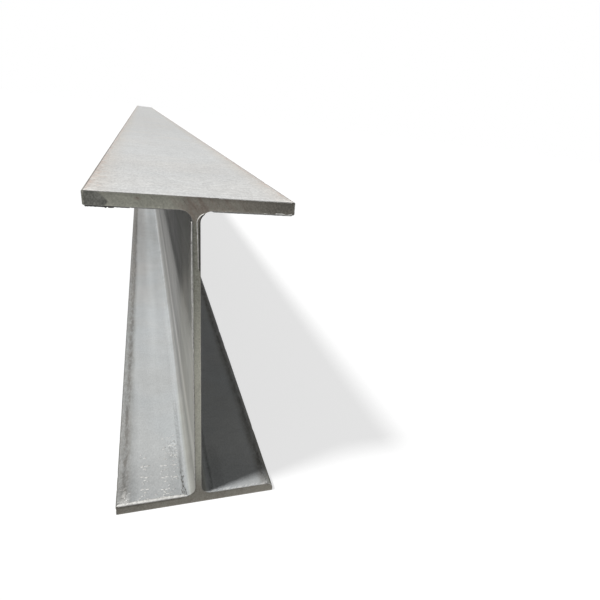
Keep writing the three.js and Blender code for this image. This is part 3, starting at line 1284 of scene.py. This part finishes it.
# Burr stretches, clockwise round the section: X and Z of both ends, half-size along the beam, half-height,
# how far inside the edge, raggedness, sideways wave, and shine; lengths in mm
NEAR_BURRS = (
    ((-147, 588), (30, 588), 0.9, 0.60, 0.50, 0.5, 0.0, 1.0),
    ((30, 588), (147.5, 588), 1.0, 0.85, 0.85, 0.4, 0.25, 1.0),
    ((150, 585.5), (150, 572), 0.6, 0.60, 0.60, 0.5, 0.0, 0.7),
    # Dull backing under the bright burr of the right tip: burr, and painted shade under its lip
    ((147, 568), (22, 568), 0.7, 1.00, -0.55, 0.3, 0.3, 0.42),
    ((146.5, 568), (119, 568), 1.0, 0.85, 1.10, 0.1, 2.6, 1.0),
    ((107.5, 568), (100, 568), 0.9, 0.70, 0.40, 0.5, 0.5, 0.95),
    ((80.5, 568), (74.5, 568), 0.9, 0.65, 0.40, 0.5, 0.5, 0.9),
    ((46, 568), (39.5, 568), 0.9, 0.70, 0.40, 0.5, 0.5, 0.95),
    ((12.5, 564), (6.2, 552), 0.9, 0.95, (0.50, 5.20), 0.1, 0.0, 1.0),
    ((6.3, 553), (6, 513), 0.9, 0.90, (5.10, 4.00), 0.15, 0.1, 0.95),
    ((6, 514), (6, 479), 0.9, 0.85, (4.00, 3.60), 0.35, 0.2, 0.85),
    # Dark backings beside the bright burrs of the web's right edge: painted shade
    ((12.5, 564), (6, 549), 0.6, 1.00, (0.20, 1.50), 0.1, 0.0, 0.0),
    ((6, 550), (6, 475), 0.6, 1.40, 1.35, 0.15, 0.1, 0.0),
    ((6, 460), (6, 50), 0.8, 0.45, 0.35, 0.7, 0.1, 0.55),
    ((25, 20), (140, 20), 0.8, 0.65, 0.75, 0.6, 0.4, 0.9),
    ((140, 19.8), (150, 8), 0.9, 0.70, 0.55, 0.3, 0.1, 0.9),
    ((-150, 15), (-150, 3), 0.5, 0.40, 0.40, 0.7, 0.0, 0.3),
    ((-148.8, 20), (-20.5, 20.3), 0.9, 2.50, 0.10, 0.25, 0.3, 1.0),
    ((-148, 20), (-25, 20), 4.2, 1.00, -0.10, 0.75, 0.1, 1.0),
    ((-26.2, 20.1), (-20.6, 20.4), 0.8, 2.20, 0.10, 0.25, 0.3, 1.0),
    ((-6, 48), (-6, 340), 0.8, 0.80, -0.75, 0.55, 0.1, 0.65),
    ((-6, 340), (-6, 420), 0.9, 1.35, (-1.00, -1.45), 0.35, 0.1, 0.75),
    ((-6, 420), (-6, 520), 0.9, 1.40, (-1.45, -1.25), 0.25, 0.1, 0.80),
    ((-6, 520), (-6.4, 552), 1.0, 1.10, (-1.25, -0.60), 0.1, 0.1, 0.90),
    ((-30, 568), (-90, 568), 0.9, 0.80, -0.15, 0.55, 0.1, 0.45),
    ((-90, 568), (-111, 568), 0.9, 1.20, -0.45, 0.60, 0.1, 0.14),
    ((-110, 568), (-118.8, 568), 1.5, 1.85, -0.85, 0.30, 0.2, 0.0),
    ((-116, 568), (-124, 568), 1.2, 1.00, -0.40, 0.20, 0.1, 0.0),
    ((-119.2, 568), (-123.2, 568), 1.4, 2.00, -0.95, 0.20, 0.1, 0.0),
    ((-122, 568), (-147.5, 568), 1.2, 1.70, -0.70, 0.70, 0.3, 0.02),
    ((-150, 572), (-150, 585), 0.6, 0.50, 0.50, 0.5, 0.0, 0.6),
)


def far_burrs(chance):
    """The other cut's burrs: mirrored, and with other sizes"""
    stretches = []
    for (x0, z0), (x1, z1), reach, height, inset, ragged, wave, shine in NEAR_BURRS:
        vary = chance.uniform(0.65, 1.1)
        shift = chance.uniform(-4, 4) if abs(x0 - x1) > 20 and abs(x0) < 130 else 0
        start, end = (-x1, z1), (-x0 + shift, z0)
        ragged = min(0.9, ragged + 0.1)
        shine = max(shine * 0.9, 0.2)
        stretches.append((start, end, reach * vary, height * vary, inset, ragged, wave, shine))
    return stretches


def burr_lines(outline, burrs, y_end, inward):
    """A mesh of lines along a cut edge, with the burr's sizes on its points"""
    spots, links = [], []
    fields = {name: [] for name in ("outward", "reach", "height", "ragged", "wave", "shine")}
    for first, last, reach, height, inset, ragged, wave, shine in burrs:
        found, facing = outline.run(np.array(first) * MM, np.array(last) * MM)
        count = len(found)
        links += [(len(spots) + i, len(spots) + i + 1) for i in range(count - 1)]
        insets = MM * np.linspace(*(inset if isinstance(inset, tuple) else (inset, inset)), count)
        for (x, z), (nx, nz), deep in zip(found, facing, insets):
            spots.append((x - nx * deep, y_end + inward * reach * MM * 0.9, z - nz * deep))
            fields["outward"].append((nx, 0.0, nz))
        sizes = {
            "reach": reach * MM, "height": height * MM, "ragged": ragged, "wave": wave * MM, "shine": shine,
        }
        for name, value in sizes.items():
            fields[name] += [value] * count
    mesh = line_mesh("burr_lines", spots, links)
    set_attribute(mesh, "outward", "FLOAT_VECTOR", fields.pop("outward"))
    for name, values in fields.items():
        set_attribute(mesh, name, "FLOAT", values)
    return mesh


class HBEAM_OT_cut_burrs(bpy.types.Operator):
    """Make the burrs that the saw left along the edges of both cuts"""

    bl_idname = "hbeam.cut_burrs"
    bl_label = "Cut Burrs"

    def execute(self, context):
        scene = context.scene
        make_materials(scene.hbeam_finish)
        seed = scene.hbeam_relief.seed
        outline = Outline(scene.hbeam_section)
        chance = np.random.default_rng(seed + 1)
        tree = burr_tree()
        cuts = (("near_burr", NEAR_BURRS, NEAR, 1.0), ("far_burr", far_burrs(chance), FAR, -1.0))
        for name, burrs, y_end, inward in cuts:
            lines = burr_lines(outline, burrs, y_end, inward)
            make_piece(name, lines, tree, "bright_burr", seed=seed)
        return {"FINISHED"}


MARK_LEVEL = FLANGE_TOP - 0.10 * MM    # marks sink into the flange by this much


def beside_cut(inward, x, away):
    """X and Y of a spot, from its X and its distance from a cut in mm

    The far end's marks are those of the near end, turned half round.
    """
    return inward * x * MM, inward * (NEAR + away * MM)


def mark_lines(lines, z):
    """A mesh of straight lines: both ends of each, and the half-sizes of its marks in mm"""
    spots = [(x, y, z) for *ends, _ in lines for x, y in ends]
    mesh = line_mesh("mark_lines", spots, [(2 * i, 2 * i + 1) for i in range(len(lines))])
    set_attribute(mesh, "flake", "FLOAT_VECTOR", np.repeat([line[-1] for line in lines], 2, axis=0) * MM)
    return mesh


def mark_patches(patches, z):
    """A mesh of flat patches: two corners of each, how thickly marks lie there, and a mark's half-sizes"""
    mesh = bpy.data.meshes.new("mark_patches")
    spots = []
    for (x0, y0), (x1, y1), *_ in patches:
        spots += [(x0, y0, z), (x1, y0, z), (x1, y1, z), (x0, y1, z)]
    mesh.from_pydata(spots, [], np.arange(len(spots)).reshape(-1, 4).tolist())
    set_attribute(mesh, "thick", "FLOAT", [(low, low, high, high) for *_, low, high, _ in patches])
    set_attribute(mesh, "flake", "FLOAT_VECTOR", np.repeat([patch[-1] for patch in patches], 4, axis=0) * MM)
    return mesh


# Columns of roll marks in mm: X, distance of both ends from the cut, half-length of a mark
ROLL_MARK_COLUMNS = (
    (-94.5, 36, 106, 4.4),
    (-102.5, 36, 106, 3.7),
    (-98.5, 26, 130, 2.5),
    (-56.5, 29, 98, 4.4),
    (-64.5, 29, 98, 3.6),
    (-60.0, 50, 190, 3.0),
    (-39.0, 62, 96, 5.6),
    (-46.5, 64, 100, 2.8),
    (-35.0, 128, 200, 3.8),
    (-43.0, 128, 164, 3.4),
)


class HBEAM_OT_roll_marks(bpy.types.Operator):
    """Make the rows of short bright marks that the rolls pressed into the flange"""

    bl_idname = "hbeam.roll_marks"
    bl_label = "Roll Marks"

    def execute(self, context):
        scene = context.scene
        make_materials(scene.hbeam_finish)
        relief = scene.hbeam_relief
        lines = []
        for x, start, end, half_length in ROLL_MARK_COLUMNS:
            mark = (half_length, 1.5, 0.42)
            lines.append((beside_cut(1.0, x, start), beside_cut(1.0, x, end), mark))
            lines.append((beside_cut(-1.0, x, end), beside_cut(-1.0, x, start), mark))
        make_piece(
            "roll_marks", mark_lines(lines, MARK_LEVEL), mark_rows_tree(), "bright_burr",
            spacing=relief.mark_spacing, jitter=(0.0012, 0.0022, 0.0), turn=0.14, lean=-0.04, shine=0.90,
            roughen=(0.0016, 0.0014, 0.0), roundness=2, seed=relief.seed,
        )
        return {"FINISHED"}


CHIP, FEATHER, CRUMB = (2.4, 1.1, 0.4), (4.0, 0.7, 0.3), (2.6, 1.0, 0.3)
# Patches of flakes, in mm: X and distance from the cut of two corners, how thickly flakes lie at either, and
# the half-sizes of a flake
FLAKE_PATCHES = (
    (-140, 3.5, -129, 24, 0.55, 0.10, CHIP),
    (-147, 5.0, -124, 45, 0.14, 0.03, FEATHER),
    (-146, 3.5, -32, 13, 0.35, 0.0, CHIP),
    (-64, 4.0, -52, 40, 0.55, 0.20, CHIP),
    (-78, 5.0, -44, 26, 0.25, 0.05, FEATHER),
    (-113, 5.0, -78, 30, 0.15, 0.02, CHIP),
    (-70, 40.0, -52, 200, 0.12, 0.03, CRUMB),
    (-110, 35.0, -86, 150, 0.12, 0.03, CRUMB),
    (-50, 50.0, -32, 200, 0.12, 0.16, CRUMB),
)
FAR_FLAKE_PATCHES = FLAKE_PATCHES[1:6]


class HBEAM_OT_scale_flakes(bpy.types.Operator):
    """Make the loosened bright flakes near the cuts"""

    bl_idname = "hbeam.scale_flakes"
    bl_label = "Scale Flakes"

    def execute(self, context):
        scene = context.scene
        make_materials(scene.hbeam_finish)
        patches = []
        for x0, away0, x1, away1, low, high, size in FLAKE_PATCHES:
            patches.append((beside_cut(1.0, x0, away0), beside_cut(1.0, x1, away1), low, high, size))
        for x0, away0, x1, away1, low, high, size in FAR_FLAKE_PATCHES:
            patches.append((beside_cut(-1.0, x1, away1), beside_cut(-1.0, x0, away0), high, low, size))
        make_piece(
            "scale_flakes", mark_patches(patches, MARK_LEVEL), mark_patch_tree(), "bright_burr", turn=0.45,
            lean=0.10, density=90000.0, shine=0.93, roughen=(0.0014, 0.0014, 0.0),
            seed=scene.hbeam_relief.seed,
        )
        return {"FINISHED"}


# Rows of scabs beside the root: both ends of a row, and half a scab's sizes in mm
SCAB_ROWS = (
    (beside_cut(1.0, -30.0, 6), beside_cut(1.0, -27.0, 56), (1.6, 3.0, 0.3)),
    (beside_cut(1.0, -25.0, 12), beside_cut(1.0, -26.2, 90), (1.2, 4.0, 0.3)),
    (beside_cut(-1.0, -27.5, 12), beside_cut(-1.0, -27.2, 120), (1.6, 3.0, 0.3)),
)
SCAB_LEVEL = FLANGE_TOP - 0.12 * MM
ROOT_AT, ROOT_RADIUS = 24.0, 18.0    # where the root fillet meets the flange, and its radius, in mm
# Lap cracks: X and distance from the cut of each point, in mm
LAP_CRACKS = (
    ((-21.4, 5), (-21.8, 9), (-22.7, 14), (-23.3, 18), (-24.3, 22), (-25.6, 26), (-26.9, 30), (-27.5, 35)),
    ((-28.2, 10), (-29.8, 13), (-30.8, 17), (-31.0, 22)),
    ((-27.7, 1.6), (-30.5, 4), (-32.9, 6), (-34.2, 9)),
    ((-25.4, 1.0), (-26.0, 3), (-26.8, 7), (-27.4, 9)),
    ((-26.9, 37), (-27.4, 42), (-29.3, 48), (-27.1, 54), (-28.6, 61)),
    ((-29.0, 66), (-28.7, 74)),
)
FAR_LAP_CRACKS = LAP_CRACKS[1:5]
CRACK_LIFT = 0.04        # a crack's lip stands this far out of the face, in mm


def crack_lines():
    """A mesh of the cracks of both ends, on the flange and up its fillet"""
    spots, links = [], []
    for inward, cracks in ((1.0, LAP_CRACKS), (-1.0, FAR_LAP_CRACKS)):
        for crack in cracks:
            links += [(len(spots) + i, len(spots) + i + 1) for i in range(len(crack) - 1)]
            for x, away in crack:
                past_root = max(0.0, ROOT_AT + x)
                rise = ROOT_RADIUS - math.sqrt(ROOT_RADIUS ** 2 - past_root ** 2)
                z = FLANGE_TOP + (rise + CRACK_LIFT) * MM / CRACK_FLATNESS
                spots.append((*beside_cut(inward, x, away), z))
    return line_mesh("crack_lines", spots, links)


class HBEAM_OT_lap_scabs(bpy.types.Operator):
    """Make the lapped skin beside the root: dark scabs in a row, and cracks between them"""

    bl_idname = "hbeam.lap_scabs"
    bl_label = "Lap Scabs"

    def execute(self, context):
        scene = context.scene
        make_materials(scene.hbeam_finish)
        seed = scene.hbeam_relief.seed
        make_piece(
            "lap_scabs", mark_lines(SCAB_ROWS, SCAB_LEVEL), mark_rows_tree(), "lap_oxide", spacing=0.0150,
            jitter=(0.0016, 0.0045, 0.0), turn=0.50, lean=0.0, shine=0.0, roughen=(0.0022, 0.0030, 0.0),
            seed=seed + 3,
        )
        make_piece(
            "lap_cracks", crack_lines(), crack_tree(), "crack_oxide", width=0.66 * MM, wander=1.0 * MM,
            seed=seed,
        )
        return {"FINISHED"}


# ---------------------------------------------------------------- stage

IMAGE_SIZE = 600
SENSOR = 36.0
FOCAL_PIXELS = 464.09
OPTICAL_AXIS = (327.40, 345.14)      # pixel where the lens looks straight ahead
CAMERA_FROM_NEAR_END = (-0.0685, -0.7191, 0.7043)
CAMERA_YAW, CAMERA_PITCH, CAMERA_ROLL = -0.3979, -0.4420, -0.1253
CLIP_NEAR, CLIP_FAR = 0.05, 100.0
LIGHT_HEADING = (0.97, 0.23, 0.0)
FLOOR_REACH = 60.0
FLOOR_WHITE = 1.06       # how bright the open floor shows


def make_camera(scene):
    data = bpy.data.cameras.new("camera")
    data.sensor_width = SENSOR
    data.lens = SENSOR * FOCAL_PIXELS / IMAGE_SIZE
    data.shift_x = 0.5 - OPTICAL_AXIS[0] / IMAGE_SIZE
    data.shift_y = OPTICAL_AXIS[1] / IMAGE_SIZE - 0.5
    data.clip_start, data.clip_end = CLIP_NEAR, CLIP_FAR
    camera = new_object("camera", data)
    x, y, z = CAMERA_FROM_NEAR_END
    look = (
        Matrix.Rotation(CAMERA_YAW, 4, "Z")
        @ Matrix.Rotation(CAMERA_PITCH, 4, "X")
        @ Matrix.Rotation(CAMERA_ROLL, 4, "Y")
        @ Matrix.Rotation(math.pi / 2, 4, "X")
    )
    camera.matrix_world = Matrix.Translation((x, NEAR + y, z)) @ look
    scene.camera = camera


def make_light(stage):
    data = bpy.data.lights.new("key", "SUN")
    data.energy = stage.sun_strength
    data.angle = stage.sun_angle
    heading = Vector(LIGHT_HEADING).normalized() * math.cos(stage.sun_elevation)
    travel = heading - Vector((0, 0, 1)) * math.sin(stage.sun_elevation)
    new_object("key", data).rotation_euler = travel.to_track_quat("-Z", "Y").to_euler()


def seen_rays(tree):
    """1 for camera, glossy and transmission rays, else 0"""
    path = put(tree, "ShaderNodeLightPath").outputs
    seen, glossy, through = (
        Value(tree, path[name]) for name in ("Is Camera Ray", "Is Glossy Ray", "Is Transmission Ray")
    )
    return maths("MAXIMUM", seen, maths("MAXIMUM", glossy, through))


def make_world(scene, stage):
    """White where it is seen or reflected, and softer as the light from all round"""
    world = bpy.data.worlds.new("sky")
    world.use_nodes = True
    background = world.node_tree.nodes["Background"].inputs
    feed(background["Color"], (1, 1, 1))
    seen = seen_rays(world.node_tree)
    feed(background["Strength"], ramp(seen, 0.0, 1.0, stage.sky_strength, 1.0, "LINEAR"))
    scene.world = world


def make_floor(stage):
    """A plain white floor that keeps the beam's shadow"""
    mesh = bpy.data.meshes.new("floor")
    corners = [(x * FLOOR_REACH, y * FLOOR_REACH, 0) for x, y in ((-1, -1), (1, -1), (1, 1), (-1, 1))]
    mesh.from_pydata(corners, [], [(0, 1, 2, 3)])
    material = bpy.data.materials.new("pale_floor")
    material.use_nodes = True
    tree = material.node_tree
    tree.nodes.clear()
    felt = out(tree, "ShaderNodeBsdfDiffuse", {"Color": stage.floor_bounce})
    shown = out(tree, "ShaderNodeBsdfDiffuse", {"Color": stage.floor_shown})
    glow = out(tree, "ShaderNodeEmission", {"Strength": FLOOR_WHITE - stage.floor_shown[0]})
    pale = out(tree, "ShaderNodeAddShader", {0: shown, 1: glow})
    either = out(tree, "ShaderNodeMixShader", {0: seen_rays(tree), 1: felt, 2: pale})
    put(tree, "ShaderNodeOutputMaterial", {"Surface": either})
    mesh.materials.append(material)
    new_object("floor", mesh)


class HBEAM_OT_stage(bpy.types.Operator):
    """Make the floor, the lights and the camera"""

    bl_idname = "hbeam.stage"
    bl_label = "Stage"

    def execute(self, context):
        stage = context.scene.hbeam_stage
        make_camera(context.scene)
        make_light(stage)
        make_world(context.scene, stage)
        make_floor(stage)
        context.scene.view_settings.view_transform = "Standard"
        return {"FINISHED"}


# ---------------------------------------------------------------- panel and registration


class HBEAM_PT_panel(bpy.types.Panel):
    """Sizes, colours and pieces of the beam"""

    bl_label = "Rolled H-Beam"
    bl_idname = "HBEAM_PT_panel"
    bl_space_type = "VIEW_3D"
    bl_region_type = "UI"
    bl_category = "H-Beam"

    def draw(self, context):
        layout = self.layout
        for setting in GROUPS:
            group = getattr(context.scene, setting)
            box = layout.box()
            for name in group.__annotations__:
                box.prop(group, name)
        for operator in OPERATORS:
            layout.operator(operator.bl_idname)


GROUPS = {
    "hbeam_section": HBeamSection,
    "hbeam_relief": HBeamRelief,
    "hbeam_finish": HBeamFinish,
    "hbeam_stage": HBeamStage,
}
OPERATORS = (
    HBEAM_OT_stage,
    HBEAM_OT_rolled_beam,
    HBEAM_OT_cut_burrs,
    HBEAM_OT_roll_marks,
    HBEAM_OT_scale_flakes,
    HBEAM_OT_lap_scabs,
)
CLASSES = (*GROUPS.values(), *OPERATORS, HBEAM_PT_panel)


def register():
    for cls in CLASSES:
        bpy.utils.register_class(cls)
    for name, group in GROUPS.items():
        setattr(bpy.types.Scene, name, bpy.props.PointerProperty(type=group))


def unregister():
    for name in GROUPS:
        delattr(bpy.types.Scene, name)
    for cls in reversed(CLASSES):
        bpy.utils.unregister_class(cls)


def main():
    register()
    bpy.ops.hbeam.stage()
    bpy.ops.hbeam.rolled_beam()
    bpy.ops.hbeam.cut_burrs()
    bpy.ops.hbeam.roll_marks()
    bpy.ops.hbeam.scale_flakes()
    bpy.ops.hbeam.lap_scabs()


if __name__ == "__main__":
    main()
